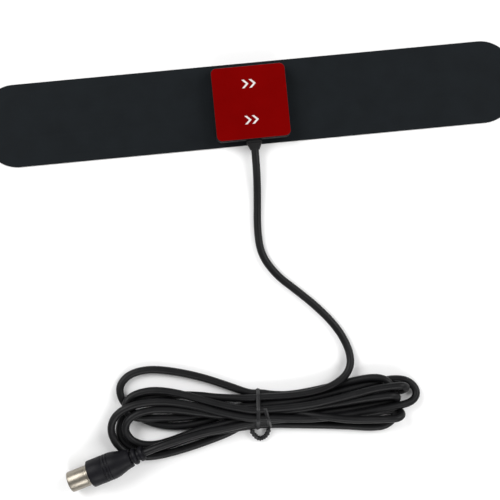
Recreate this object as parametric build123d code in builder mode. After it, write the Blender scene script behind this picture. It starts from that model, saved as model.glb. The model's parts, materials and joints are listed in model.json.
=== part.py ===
"""Flat strip television aerial lying on its front face, with its lead folded into a tied hank.

The blade lies along X with its outer film on z = 0. The coupling box stands on the middle of the
back film, and the lead leaves the box towards -Y and crosses the blade's long edge.
All dimensions are in millimetres.
"""

from build123d import *
import math
import os

os.makedirs("parts", exist_ok=True)

# ---- Blade: films and foil, laminated from z = 0 upwards -------------------------------------
BLADE_LENGTH = 244.0
BLADE_WIDTH = 37.5
BLADE_CORNER = 15.5
FRONT_FILM = 0.20
FOIL = 0.10
CARRIER_FILM = 0.20
BACK_FILM = 0.30

FOIL_Z = FRONT_FILM
CARRIER_Z = FOIL_Z + FOIL
BACK_Z = CARRIER_Z + CARRIER_FILM
BLADE_TOP = BACK_Z + BACK_FILM

# ---- Radiating elements: one bow-tie arm to each side of the feed ----------------------------
ARM_FEED_X = 5.0
ARM_SHOULDER_X = 22.0
ARM_END_X = 116.0
ARM_HALF_WIDTH = 14.5
ARM_CORNER = 11.0
FEED_TAB = 6.0
SLOT_LENGTH = 76.0
SLOT_WIDTH = 1.4
SLOT_X = 66.0
SLOT_Y = 5.2

# ---- Terminals through the films, up to the circuit board ------------------------------------
TERMINAL_X = 8.5
TERMINAL_Y = 5.0
TERMINAL_RADIUS = 0.9
TERMINAL_HEAD_RADIUS = 2.4
TERMINAL_HEAD = 0.2
TERMINAL_STAND = 0.5
TERMINAL_CHAMFER = 0.2
CARRIER_HOLE_RADIUS = 1.2
BACK_HOLE_RADIUS = 3.0

# ---- Coupling box ----------------------------------------------------------------------------
BOX_LENGTH = 34.2
BOX_WIDTH = 33.6
BOX_CORNER = 2.8
BASE_ADHESIVE = 0.15
BASE_FLOOR = 1.2
COVER_TOP_Z = 7.9
COVER_TOP = 1.2
WALL = 1.2
COVER_CHAMFER = 0.4
LIP = 0.9
LIP_HEIGHT = 1.1
LIP_CLEARANCE = 0.1
ADHESIVE_INSET = 0.5

BASE_Z = BLADE_TOP + BASE_ADHESIVE
FLOOR_TOP_Z = BASE_Z + BASE_FLOOR
CEILING_Z = COVER_TOP_Z - COVER_TOP
INNER_WALL_Y = -BOX_WIDTH / 2 + WALL

# ---- Adhesive pad and its release liner ------------------------------------------------------
PAD_LENGTH = 33.3
PAD_WIDTH = 32.7
PAD_CORNER = 2.3
FOAM = 0.95
LINER = 0.15
LINER_Z = COVER_TOP_Z + FOAM

# ---- Circuit board and what is on it ---------------------------------------------------------
BOARD_LENGTH = 25.0
BOARD_WIDTH = 23.0
BOARD_Y = -1.0
BOARD_Z = FLOOR_TOP_Z + 0.35
BOARD = 0.8
BOARD_TOP_Z = BOARD_Z + BOARD
PEG_X = 10.4
PEG_Y = 8.6
PEG_RADIUS = 0.8
PEG_SEAT_RADIUS = 1.5
PEG_STAND = 0.6
BOARD_CORNER = 1.0
PEG_CLEARANCE = 0.06
TERMINAL_CLEARANCE = 0.06

CORE_LENGTH = 5.2
CORE_WIDTH = 6.4
CORE_HEIGHT = 2.8
CORE_CORNER = 0.6
CORE_Y = 2.5
CORE_HOLE_RADIUS = 0.8
CORE_HOLE_X = 1.3
WIRE_RADIUS = 0.2
WIRE_PITCH = 0.5
WIRE_OVERHANG = 0.9
WIRE_BEND = 0.6
WIRE_GAP = 0.05

CHIP_LENGTH = 2.0
CHIP_WIDTH = 1.25
CHIP_HEIGHT = 0.8
CHIP_CAP = 0.4
CHIP_X = 5.6
CHIP_Y = -4.0
SOLDER_RADIUS = TERMINAL_RADIUS + 0.9
SOLDER_HEIGHT = 0.7
SOLDER_TAPER = 40

# ---- Lead ------------------------------------------------------------------------------------
CABLE_RADIUS = 1.75
BRAID_RADIUS = 1.35
DIELECTRIC_RADIUS = 1.1
CONDUCTOR_RADIUS = 0.3
CABLE_Z = BOARD_TOP_Z + BRAID_RADIUS
JACKET_END_Y = -13.7
BRAID_END_Y = -9.4
DIELECTRIC_END_Y = -6.9
CONDUCTOR_END_Y = -5.2
CLAMP_SHEET = 0.3
CLAMP_Y = -11.2
CLAMP_WIDTH = 2.6
CLAMP_FOOT = 1.8

# ---- Strain relief ---------------------------------------------------------------------------
RELIEF_FLANGE_WIDTH = 9.0
RELIEF_FLANGE = 1.3
RELIEF_NECK_WIDTH = 5.4
RELIEF_BLOCK_WIDTH = 7.0
RELIEF_BLOCK_END_Y = -18.9
RELIEF_TIP_Y = -21.3
RELIEF_TIP_RADIUS = 2.2
RELIEF_TOP_Z = CABLE_Z + 2.4
RELIEF_NECK_TOP_Z = RELIEF_TOP_Z - 0.4
RELIEF_FILLET = 1.2
RELIEF_FLARE_WIDTH = 6.2
RELIEF_FLARE_HEIGHT = 4.7
RELIEF_FLARE_CORNER = 2.2
LIP_GAP_WIDTH = RELIEF_FLANGE_WIDTH + 0.4
LIP_GAP_DEPTH = 7.2

# ---- Route of the lead from the box to the hank, along its centre line -----------------------
FLOOR_LEVEL = CABLE_RADIUS + 0.05
RUN_ROUTE = [
    (0.0, JACKET_END_Y, CABLE_Z),
    (0.0, -29.0, CABLE_Z),
    (-0.9, -43.0, 2.1),
    (-2.4, -57.0, FLOOR_LEVEL),
    (-1.9, -68.8, FLOOR_LEVEL),
    (4.2, -78.9, FLOOR_LEVEL),
    (12.4, -86.4, FLOOR_LEVEL),
    (21.0, -94.8, FLOOR_LEVEL),
    (28.9, -104.4, FLOOR_LEVEL),
    (33.4, -113.8, 2.3),
    (34.4, -122.4, 4.4),
    (29.6, -129.6, 6.1),
]

# ---- Hank: the folded length, laid flat and tied at its waist ---------------------------------
HANK_HEIGHT = 9.6
HANK_OUTLINE = [
    (-78.4, -140.6),
    (-75.7, -134.4),
    (-72.5, -128.6),
    (-73.0, -122.8),
    (-66.4, -116.0),
    (-54.2, -114.7),
    (-33.9, -120.2),
    (-12.5, -129.0),
    (1.7, -132.3),
    (18.3, -131.2),
    (42.5, -128.1),
    (57.4, -130.9),
    (63.5, -138.5),
    (58.5, -145.1),
    (53.2, -152.1),
    (41.8, -154.1),
    (9.6, -149.8),
    (-14.7, -148.9),
    (-39.7, -153.7),
    (-58.3, -155.8),
    (-72.2, -152.1),
]

# ---- Twist tie around the waist --------------------------------------------------------------
TIE_X = -9.9
TIE_WIDTH = 3.6
TIE_THICKNESS = 0.6
TIE_NEAR_Y = -149.9
TIE_FAR_Y = -129.4
TIE_TOP_Z = HANK_HEIGHT + 0.3
TIE_END_RADIUS = 0.8
TIE_END_Z = 1.4
TIE_END_ROUTE = [
    (-11.2, -149.4, TIE_END_Z),
    (-10.5, -152.1, TIE_END_Z),
    (-5.1, -150.9, TIE_END_Z),
]
TIE_END_BEND = 0.9

# ---- Plug: stations along its axis, from the open end of its barrel ---------------------------
PLUG_TIP = (-97.7, -162.7, 4.75)
PLUG_HEADING = 17.0
PLUG_RISE = 8.0
BARREL_RADIUS = 4.75
BARREL_WALL = 0.6
BARREL_EDGE = 0.5
BARREL_LENGTH = 10.0
COLLAR_RADIUS = 5.2
COLLAR_END = 15.5
INSULATOR_START = 6.5
PIN_RADIUS = 1.19
PIN_START = 1.0
FERRULE_RADIUS = 2.9
FERRULE_END = 22.0
GRIP_RADIUS = 6.2
GRIP_CORNER = 0.9
GRIP_TAPER_START = 20.8
GRIP_TAPER_RADIUS = 4.1
GRIP_TAPER_END = 30.0
RIB_RADII = [3.8, 3.4]
RIB_GROOVES = [(30.4, 31.3, 2.8), (33.3, 34.5, 2.6)]
RIB_ENDS = [33.0, 36.3]
RIB_RAMP = 0.4
GRIP_END = 36.8
GRIP_END_RADIUS = 2.3
RING_GROOVES = [17.6, 19.0, 20.4]
RING_GROOVE_DEPTH = 0.25
RING_GROOVE_WIDTH = 0.5
PLUG_CLEARANCE = 0.3

# ---- Route of the lead from the plug back into the hank ---------------------------------------
TAIL_BEND_AT = 45.5
TAIL_END = (-37.3, -146.0, 5.6)


def corner_radii(route):
    """Radius of the arc at each inner point: as large as the two runs beside it allow."""
    radii = []
    for before, here, after in zip(route, route[1:], route[2:]):
        run_in = Vector(*here) - Vector(*before)
        run_out = Vector(*after) - Vector(*here)
        half_turn = math.radians(run_in.get_angle(run_out)) / 2
        radii.append(0.45 * min(run_in.length, run_out.length) / math.tan(half_turn))
    return radii


def finish(part, label):
    """Names the piece and writes it."""
    part.label = label
    export_step(part, f"parts/{label}.step")


# ============================== Blade ==========================================================

with BuildSketch() as blade_outline:
    RectangleRounded(BLADE_LENGTH, BLADE_WIDTH, BLADE_CORNER)

with BuildSketch() as arm_outline:
    with BuildLine():
        Polyline(
            (ARM_FEED_X, TERMINAL_Y - FEED_TAB / 2),
            (TERMINAL_X + FEED_TAB / 2, TERMINAL_Y - FEED_TAB / 2),
            (ARM_SHOULDER_X, -ARM_HALF_WIDTH),
            (ARM_END_X, -ARM_HALF_WIDTH),
            (ARM_END_X, ARM_HALF_WIDTH),
            (ARM_SHOULDER_X, ARM_HALF_WIDTH),
            (TERMINAL_X + FEED_TAB / 2, TERMINAL_Y + FEED_TAB / 2),
            (ARM_FEED_X, TERMINAL_Y + FEED_TAB / 2),
            close=True,
        )
    make_face()
    fillet(arm_outline.vertices().group_by(Axis.X)[-1], ARM_CORNER)
    with Locations((SLOT_X, SLOT_Y), (SLOT_X, -SLOT_Y)):
        SlotOverall(SLOT_LENGTH, SLOT_WIDTH, mode=Mode.SUBTRACT)

terminal_spots = [(-TERMINAL_X, TERMINAL_Y), (TERMINAL_X, TERMINAL_Y)]

with BuildPart() as front_film:
    add(blade_outline.sketch)
    extrude(amount=FRONT_FILM)
finish(front_film.part, "front_film")

with BuildPart() as right_element:
    with BuildSketch(Plane.XY.offset(FOIL_Z)):
        add(arm_outline.sketch)
    extrude(amount=FOIL)
finish(right_element.part, "right_element")

with BuildPart() as left_element:
    add(mirror(right_element.part, about=Plane.YZ))
finish(left_element.part, "left_element")

with BuildPart() as bonding_film:
    with BuildSketch(Plane.XY.offset(FOIL_Z)):
        add(blade_outline.sketch)
    extrude(amount=FOIL)
    add(right_element.part, mode=Mode.SUBTRACT)
    add(left_element.part, mode=Mode.SUBTRACT)
finish(bonding_film.part, "bonding_film")

for label, level, thickness, hole_radius in (
    ("carrier_film", CARRIER_Z, CARRIER_FILM, CARRIER_HOLE_RADIUS),
    ("back_film", BACK_Z, BACK_FILM, BACK_HOLE_RADIUS),
):
    with BuildPart() as drilled_film:
        with BuildSketch(Plane.XY.offset(level)):
            add(blade_outline.sketch)
            with Locations(*terminal_spots):
                Circle(hole_radius, mode=Mode.SUBTRACT)
        extrude(amount=thickness)
    finish(drilled_film.part, label)

# Each terminal: a stub on the foil, a head clamping the carrier film and a pin up to the board.
for side, label in ((-1, "left_terminal"), (1, "right_terminal")):
    axis_point = Plane.XY.offset(CARRIER_Z).shift_origin((side * TERMINAL_X, TERMINAL_Y, CARRIER_Z))
    with BuildPart() as terminal:
        with BuildSketch(axis_point):
            Circle(CARRIER_HOLE_RADIUS)
        extrude(amount=CARRIER_FILM)
        with BuildSketch(axis_point.offset(CARRIER_FILM)):
            Circle(TERMINAL_HEAD_RADIUS)
        extrude(amount=TERMINAL_HEAD)
        with BuildSketch(axis_point.offset(CARRIER_FILM + TERMINAL_HEAD)):
            Circle(TERMINAL_RADIUS)
        extrude(amount=BOARD_TOP_Z + TERMINAL_STAND - BACK_Z - TERMINAL_HEAD)
        chamfer(terminal.edges().group_by(Axis.Z)[-1], TERMINAL_CHAMFER)
    finish(terminal.part, label)

# ============================== Coupling box ===================================================

peg_spots = [
    (-PEG_X, BOARD_Y - PEG_Y),
    (PEG_X, BOARD_Y - PEG_Y),
    (-PEG_X, BOARD_Y + PEG_Y),
    (PEG_X, BOARD_Y + PEG_Y),
]

with BuildPart() as base_adhesive:
    with BuildSketch(Plane.XY.offset(BLADE_TOP)):
        RectangleRounded(
            BOX_LENGTH - 2 * ADHESIVE_INSET,
            BOX_WIDTH - 2 * ADHESIVE_INSET,
            BOX_CORNER - ADHESIVE_INSET,
        )
        with Locations(*terminal_spots):
            Circle(BACK_HOLE_RADIUS, mode=Mode.SUBTRACT)
    extrude(amount=BASE_ADHESIVE)
finish(base_adhesive.part, "base_adhesive")

with BuildPart() as housing_base:
    with BuildSketch(Plane.XY.offset(BASE_Z)):
        RectangleRounded(BOX_LENGTH, BOX_WIDTH, BOX_CORNER)
    extrude(amount=BASE_FLOOR)
    lip_outer = 2 * (WALL + LIP_CLEARANCE)
    with BuildSketch(Plane.XY.offset(FLOOR_TOP_Z)):
        RectangleRounded(BOX_LENGTH - lip_outer, BOX_WIDTH - lip_outer, BOX_CORNER - WALL)
        RectangleRounded(
            BOX_LENGTH - lip_outer - 2 * LIP,
            BOX_WIDTH - lip_outer - 2 * LIP,
            BOX_CORNER - WALL - LIP,
            mode=Mode.SUBTRACT,
        )
        with Locations((0, -BOX_WIDTH / 2)):
            Rectangle(LIP_GAP_WIDTH, LIP_GAP_DEPTH, mode=Mode.SUBTRACT)
    extrude(amount=LIP_HEIGHT)
    with BuildSketch(Plane.XY.offset(FLOOR_TOP_Z)):
        with Locations(*peg_spots):
            Circle(PEG_SEAT_RADIUS)
    extrude(amount=BOARD_Z - FLOOR_TOP_Z)
    with BuildSketch(Plane.XY.offset(BOARD_Z)):
        with Locations(*peg_spots):
            Circle(PEG_RADIUS)
    extrude(amount=BOARD + PEG_STAND)
    with BuildSketch(Plane.XY.offset(BASE_Z)):
        with Locations(*terminal_spots):
            Circle(TERMINAL_HEAD_RADIUS)
    extrude(amount=BASE_FLOOR, mode=Mode.SUBTRACT)
finish(housing_base.part, "housing_base")

with BuildPart() as housing_cover:
    with BuildSketch(Plane.XY.offset(FLOOR_TOP_Z)):
        RectangleRounded(BOX_LENGTH, BOX_WIDTH, BOX_CORNER)
    extrude(amount=COVER_TOP_Z - FLOOR_TOP_Z)
    chamfer(housing_cover.edges().group_by(Axis.Z)[-1], COVER_CHAMFER)
    with BuildSketch(Plane.XY.offset(FLOOR_TOP_Z)):
        RectangleRounded(BOX_LENGTH - 2 * WALL, BOX_WIDTH - 2 * WALL, BOX_CORNER - WALL)
    extrude(amount=CEILING_Z - FLOOR_TOP_Z, mode=Mode.SUBTRACT)
    with BuildSketch(Plane.XY.offset(FLOOR_TOP_Z)):
        with Locations((0, -BOX_WIDTH / 2)):
            Rectangle(RELIEF_NECK_WIDTH, 3 * WALL)
    extrude(amount=RELIEF_NECK_TOP_Z - FLOOR_TOP_Z, mode=Mode.SUBTRACT)
finish(housing_cover.part, "housing_cover")

for label, level, height in (
    ("foam_pad", COVER_TOP_Z, FOAM),
    ("release_liner", LINER_Z, LINER),
):
    with BuildPart() as pad_layer:
        with BuildSketch(Plane.XY.offset(level)):
            RectangleRounded(PAD_LENGTH, PAD_WIDTH, PAD_CORNER)
        extrude(amount=height)
    finish(pad_layer.part, label)

# ============================== Circuit board ==================================================

with BuildPart() as circuit_board:
    with BuildSketch(Plane.XY.offset(BOARD_Z)):
        with Locations((0, BOARD_Y)):
            RectangleRounded(BOARD_LENGTH, BOARD_WIDTH, BOARD_CORNER)
        with Locations(*peg_spots):
            Circle(PEG_RADIUS + PEG_CLEARANCE, mode=Mode.SUBTRACT)
        with Locations(*terminal_spots):
            Circle(TERMINAL_RADIUS + TERMINAL_CLEARANCE, mode=Mode.SUBTRACT)
    extrude(amount=BOARD)
finish(circuit_board.part, "circuit_board")

with BuildPart() as balun_core:
    with BuildSketch(Plane.XY.offset(BOARD_TOP_Z)):
        with Locations((0, CORE_Y)):
            RectangleRounded(CORE_LENGTH, CORE_WIDTH, CORE_CORNER)
    extrude(amount=CORE_HEIGHT)
    with BuildSketch(Plane.XZ.offset(-CORE_Y - CORE_WIDTH)):
        with Locations(
            (-CORE_HOLE_X, BOARD_TOP_Z + CORE_HEIGHT / 2),
            (CORE_HOLE_X, BOARD_TOP_Z + CORE_HEIGHT / 2),
        ):
            Circle(CORE_HOLE_RADIUS)
    extrude(amount=2 * CORE_WIDTH, mode=Mode.SUBTRACT)
finish(balun_core.part, "balun_core")

for label, level in (
    ("primary_winding", BOARD_TOP_Z + CORE_HEIGHT / 2 + WIRE_PITCH / 2),
    ("secondary_winding", BOARD_TOP_Z + CORE_HEIGHT / 2 - WIRE_PITCH / 2),
):
    loop_plane = Plane.XY.offset(level)
    with BuildPart() as winding:
        with BuildSketch(Plane((CORE_HOLE_X, CORE_Y, level), x_dir=(1, 0, 0), z_dir=(0, 1, 0))):
            Circle(WIRE_RADIUS)
        with BuildLine(loop_plane):
            FilletPolyline(
                (CORE_HOLE_X, CORE_Y),
                (CORE_HOLE_X, CORE_Y + CORE_WIDTH / 2 + WIRE_OVERHANG),
                (-CORE_HOLE_X, CORE_Y + CORE_WIDTH / 2 + WIRE_OVERHANG),
                (-CORE_HOLE_X, CORE_Y - CORE_WIDTH / 2 - WIRE_OVERHANG),
                (CORE_HOLE_X, CORE_Y - CORE_WIDTH / 2 - WIRE_OVERHANG),
                (CORE_HOLE_X, CORE_Y - WIRE_GAP),
                radius=WIRE_BEND,
            )
        sweep()
    finish(winding.part, label)

chip_spots = [(-CHIP_X, CHIP_Y), (CHIP_X, CHIP_Y)]
with BuildPart() as matching_capacitors:
    with BuildSketch(Plane.XY.offset(BOARD_TOP_Z)):
        with Locations(*chip_spots):
            Rectangle(CHIP_LENGTH - 2 * CHIP_CAP, CHIP_WIDTH)
    extrude(amount=CHIP_HEIGHT)
finish(matching_capacitors.part, "matching_capacitors")

with BuildPart() as capacitor_caps:
    with BuildSketch(Plane.XY.offset(BOARD_TOP_Z)):
        for x, y in chip_spots:
            for end in (-1, 1):
                with Locations((x + end * (CHIP_LENGTH - CHIP_CAP) / 2, y)):
                    Rectangle(CHIP_CAP, CHIP_WIDTH)
    extrude(amount=CHIP_HEIGHT)
finish(capacitor_caps.part, "capacitor_caps")

with BuildPart() as solder_joints:
    with BuildSketch(Plane.XY.offset(BOARD_TOP_Z)):
        with Locations(*terminal_spots):
            Circle(SOLDER_RADIUS)
    extrude(amount=SOLDER_HEIGHT, taper=SOLDER_TAPER)
    for side in (-1, 1):
        with Locations((side * TERMINAL_X, TERMINAL_Y, BOARD_TOP_Z + 2)):
            Hole(TERMINAL_RADIUS, depth=3)
finish(solder_joints.part, "solder_joints")

# ============================== Stripped end of the lead =======================================

lead_axis = Plane((0, JACKET_END_Y, CABLE_Z), x_dir=(1, 0, 0), z_dir=(0, 1, 0))

for label, outer, inner, end_y in (
    ("braid_tail", BRAID_RADIUS, DIELECTRIC_RADIUS, BRAID_END_Y),
    ("dielectric_tail", DIELECTRIC_RADIUS, CONDUCTOR_RADIUS, DIELECTRIC_END_Y),
    ("conductor_tail", CONDUCTOR_RADIUS, 0.0, CONDUCTOR_END_Y),
):
    with BuildPart() as lead_layer:
        with BuildSketch(lead_axis):
            Circle(outer)
            if inner > 0:
                Circle(inner, mode=Mode.SUBTRACT)
        extrude(amount=end_y - JACKET_END_Y)
    finish(lead_layer.part, label)

# A saddle bent over the braid, with one flat foot soldered to the board on each side.
with BuildPart() as cable_clamp:
    with BuildSketch(Plane.XZ.offset(-CLAMP_Y + CLAMP_WIDTH / 2)):
        with Locations((0, CABLE_Z)):
            Circle(BRAID_RADIUS + CLAMP_SHEET)
        with Locations((0, (CABLE_Z + BOARD_TOP_Z) / 2)):
            Rectangle(2 * (BRAID_RADIUS + CLAMP_SHEET), CABLE_Z - BOARD_TOP_Z)
        with Locations((0, BOARD_TOP_Z + CLAMP_SHEET / 2)):
            Rectangle(2 * (BRAID_RADIUS + CLAMP_FOOT), CLAMP_SHEET)
        with Locations((0, CABLE_Z)):
            Circle(BRAID_RADIUS, mode=Mode.SUBTRACT)
        with Locations((0, (CABLE_Z + BOARD_TOP_Z) / 2)):
            Rectangle(2 * BRAID_RADIUS, CABLE_Z - BOARD_TOP_Z, mode=Mode.SUBTRACT)
        with Locations((0, BOARD_TOP_Z - 5)):
            Rectangle(20, 10, mode=Mode.SUBTRACT)
    extrude(amount=-CLAMP_WIDTH)
finish(cable_clamp.part, "cable_clamp")

# ============================== Strain relief ==================================================

with BuildPart() as strain_relief:
    with BuildSketch(Plane.XY.offset(FLOOR_TOP_Z)):
        with Locations((0, INNER_WALL_Y + RELIEF_FLANGE / 2)):
            Rectangle(RELIEF_FLANGE_WIDTH, RELIEF_FLANGE)
        with Locations((0, INNER_WALL_Y - WALL / 2)):
            Rectangle(RELIEF_NECK_WIDTH, WALL)
    extrude(amount=RELIEF_NECK_TOP_Z - FLOOR_TOP_Z)
    block_length = -BOX_WIDTH / 2 - RELIEF_BLOCK_END_Y
    with BuildSketch(Plane.XY.offset(BLADE_TOP)):
        with Locations((0, RELIEF_BLOCK_END_Y + block_length / 2)):
            Rectangle(RELIEF_BLOCK_WIDTH, block_length)
    extrude(amount=RELIEF_TOP_Z - BLADE_TOP)
    fillet(
        strain_relief.edges()
        .filter_by(Axis.Y)
        .filter_by_position(Axis.Y, RELIEF_BLOCK_END_Y, -BOX_WIDTH / 2 + 0.01)
        .group_by(Axis.Z)[-1],
        RELIEF_FILLET,
    )
    with BuildSketch(Plane((0, RELIEF_BLOCK_END_Y, CABLE_Z), x_dir=(1, 0, 0), z_dir=(0, -1, 0))):
        RectangleRounded(RELIEF_FLARE_WIDTH, RELIEF_FLARE_HEIGHT, RELIEF_FLARE_CORNER)
    with BuildSketch(Plane((0, RELIEF_TIP_Y, CABLE_Z), x_dir=(1, 0, 0), z_dir=(0, -1, 0))):
        Circle(RELIEF_TIP_RADIUS)
    loft()
    with BuildSketch(lead_axis):
        Circle(CABLE_RADIUS)
    extrude(amount=-20, mode=Mode.SUBTRACT)
    with BuildSketch(lead_axis):
        Circle(CABLE_RADIUS)
    extrude(amount=5, mode=Mode.SUBTRACT)
finish(strain_relief.part, "strain_relief")

# ============================== Lead, hank and tie =============================================

run_radii = corner_radii(RUN_ROUTE)
with BuildPart() as cable_run:
    with BuildLine() as run_line:
        FilletPolyline(*RUN_ROUTE, radius=run_radii)
    with BuildSketch(lead_axis):
        Circle(CABLE_RADIUS)
    sweep(path=run_line.wire())
finish(cable_run.part, "cable_run")

plug_direction = Vector(
    math.cos(math.radians(PLUG_RISE)) * math.cos(math.radians(PLUG_HEADING)),
    math.cos(math.radians(PLUG_RISE)) * math.sin(math.radians(PLUG_HEADING)),
    math.sin(math.radians(PLUG_RISE)),
)
plug_axis = Axis(PLUG_TIP, plug_direction)
# Profiles are drawn with x outwards from the axis and y along it, from the barrel's open end.
plug_side = plug_direction.cross(Vector(0, 0, 1))
plug_profile = Plane(PLUG_TIP, x_dir=plug_side, z_dir=plug_side.cross(plug_direction))

tail_bend = Vector(*PLUG_TIP) + plug_direction * TAIL_BEND_AT
tail_start = Vector(*PLUG_TIP) + plug_direction * COLLAR_END
TAIL_ROUTE = [tuple(tail_start), tuple(tail_bend), TAIL_END]
tail_radii = corner_radii(TAIL_ROUTE)
with BuildPart() as cable_tail:
    with BuildLine() as tail_line:
        FilletPolyline(*TAIL_ROUTE, radius=tail_radii)
    with BuildSketch(Plane(tail_start, z_dir=plug_direction)):
        Circle(CABLE_RADIUS)
    sweep(path=tail_line.wire())
finish(cable_tail.part, "cable_tail")

with BuildPart() as cable_hank:
    with BuildSketch():
        with BuildLine():
            Spline(*HANK_OUTLINE, periodic=True)
        make_face()
    extrude(amount=HANK_HEIGHT)
    # Room for the plug, which lies over the hank's near corner
    with BuildSketch(plug_profile):
        with BuildLine():
            Polyline(
                (0, 0),
                (GRIP_RADIUS + PLUG_CLEARANCE, 0),
                (GRIP_RADIUS + PLUG_CLEARANCE, GRIP_TAPER_START),
                (GRIP_TAPER_RADIUS + PLUG_CLEARANCE, GRIP_TAPER_END + PLUG_CLEARANCE),
                (GRIP_TAPER_RADIUS + PLUG_CLEARANCE, GRIP_END + PLUG_CLEARANCE),
                (0, GRIP_END + PLUG_CLEARANCE),
                close=True,
            )
        make_face()
    revolve(axis=plug_axis, mode=Mode.SUBTRACT)
    # Groove that the tie lies in
    with BuildSketch(Plane.YZ.offset(TIE_X - TIE_WIDTH / 2)):
        with Locations(((TIE_NEAR_Y + TIE_FAR_Y) / 2, TIE_TOP_Z / 2)):
            Rectangle(TIE_FAR_Y - TIE_NEAR_Y, TIE_TOP_Z)
            Rectangle(
                TIE_FAR_Y - TIE_NEAR_Y - 2 * TIE_THICKNESS,
                TIE_TOP_Z - 2 * TIE_THICKNESS,
                mode=Mode.SUBTRACT,
            )
    extrude(amount=TIE_WIDTH, mode=Mode.SUBTRACT)
finish(cable_hank.part, "cable_hank")

with BuildPart() as twist_tie:
    with BuildSketch(Plane.YZ.offset(TIE_X - TIE_WIDTH / 2)):
        with Locations(((TIE_NEAR_Y + TIE_FAR_Y) / 2, TIE_TOP_Z / 2)):
            Rectangle(TIE_FAR_Y - TIE_NEAR_Y, TIE_TOP_Z)
            Rectangle(
                TIE_FAR_Y - TIE_NEAR_Y - 2 * TIE_THICKNESS,
                TIE_TOP_Z - 2 * TIE_THICKNESS,
                mode=Mode.SUBTRACT,
            )
    extrude(amount=TIE_WIDTH)
    with BuildLine() as tie_end_line:
        FilletPolyline(*TIE_END_ROUTE, radius=TIE_END_BEND)
    with BuildSketch(Plane(tie_end_line.wire() ^ 0)):
        Circle(TIE_END_RADIUS)
    sweep(path=tie_end_line.wire())
finish(twist_tie.part, "twist_tie")

# ============================== Plug ===========================================================

with BuildPart() as plug_barrel:
    with BuildSketch(plug_profile):
        with BuildLine():
            Polyline(
                (BARREL_RADIUS - BARREL_WALL, 0),
                (BARREL_RADIUS - BARREL_EDGE / 2, 0),
                (BARREL_RADIUS, BARREL_EDGE),
                (BARREL_RADIUS, BARREL_LENGTH),
                (COLLAR_RADIUS, BARREL_LENGTH),
                (COLLAR_RADIUS, COLLAR_END),
                (BARREL_RADIUS - BARREL_WALL, COLLAR_END),
                close=True,
            )
        make_face()
    revolve(axis=plug_axis)
finish(plug_barrel.part, "plug_barrel")

with BuildPart() as plug_insulator:
    with BuildSketch(plug_profile):
        with Locations((PIN_RADIUS, INSULATOR_START)):
            Rectangle(
                BARREL_RADIUS - BARREL_WALL - PIN_RADIUS,
                COLLAR_END - INSULATOR_START,
                align=(Align.MIN, Align.MIN),
            )
    revolve(axis=plug_axis)
finish(plug_insulator.part, "plug_insulator")

with BuildPart() as plug_pin:
    with BuildSketch(plug_profile):
        with BuildLine():
            Polyline(
                (0, PIN_START),
                (PIN_RADIUS / 2, PIN_START),
                (PIN_RADIUS, PIN_START + PIN_RADIUS),
                (PIN_RADIUS, COLLAR_END),
                (0, COLLAR_END),
                close=True,
            )
        make_face()
    revolve(axis=plug_axis)
finish(plug_pin.part, "plug_pin")

with BuildPart() as plug_ferrule:
    with BuildSketch(plug_profile):
        with Locations((CABLE_RADIUS, COLLAR_END)):
            Rectangle(
                FERRULE_RADIUS - CABLE_RADIUS,
                FERRULE_END - COLLAR_END,
                align=(Align.MIN, Align.MIN),
            )
    revolve(axis=plug_axis)
finish(plug_ferrule.part, "plug_ferrule")

with BuildPart() as plug_grip:
    with BuildSketch(plug_profile):
        with BuildLine():
            Polyline(
                (COLLAR_RADIUS, BARREL_LENGTH),
                (GRIP_RADIUS - GRIP_CORNER, BARREL_LENGTH),
                (GRIP_RADIUS, BARREL_LENGTH + GRIP_CORNER),
                (GRIP_RADIUS, GRIP_TAPER_START),
                (GRIP_TAPER_RADIUS, GRIP_TAPER_END),
                (RIB_GROOVES[0][2], RIB_GROOVES[0][0]),
                (RIB_GROOVES[0][2], RIB_GROOVES[0][1]),
                (RIB_RADII[0], RIB_GROOVES[0][1] + RIB_RAMP),
                (RIB_RADII[0], RIB_ENDS[0] - RIB_RAMP),
                (RIB_GROOVES[1][2], RIB_GROOVES[1][0]),
                (RIB_GROOVES[1][2], RIB_GROOVES[1][1]),
                (RIB_RADII[1], RIB_GROOVES[1][1] + RIB_RAMP),
                (RIB_RADII[1], RIB_ENDS[1] - RIB_RAMP),
                (GRIP_END_RADIUS, GRIP_END),
                (CABLE_RADIUS, GRIP_END),
                (CABLE_RADIUS, FERRULE_END),
                (FERRULE_RADIUS, FERRULE_END),
                (FERRULE_RADIUS, COLLAR_END),
                (COLLAR_RADIUS, COLLAR_END),
                close=True,
            )
        make_face()
        for station in RING_GROOVES:
            with Locations((GRIP_RADIUS, station)):
                Rectangle(2 * RING_GROOVE_DEPTH, RING_GROOVE_WIDTH, mode=Mode.SUBTRACT)
    revolve(axis=plug_axis)
finish(plug_grip.part, "plug_grip")

# ============================== Summary ========================================================

section = math.pi * CABLE_RADIUS**2
for label, line, part, radii in (
    ("cable_run", run_line, cable_run.part, run_radii),
    ("cable_tail", tail_line, cable_tail.part, tail_radii),
):
    length = line.wire().length
    print(label, "radii", [round(r, 1) for r in radii])
    print(label, "length", round(length, 1), "volume ratio", round(part.volume / (section * length), 4))
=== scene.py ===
"""A flat strip television antenna lying back-up, with its square box, its folded lead and its aerial plug."""
import json
import math

import bmesh
import bpy
import numpy as np
from mathutils import Matrix, Vector
from mathutils.geometry import delaunay_2d_cdt


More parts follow.
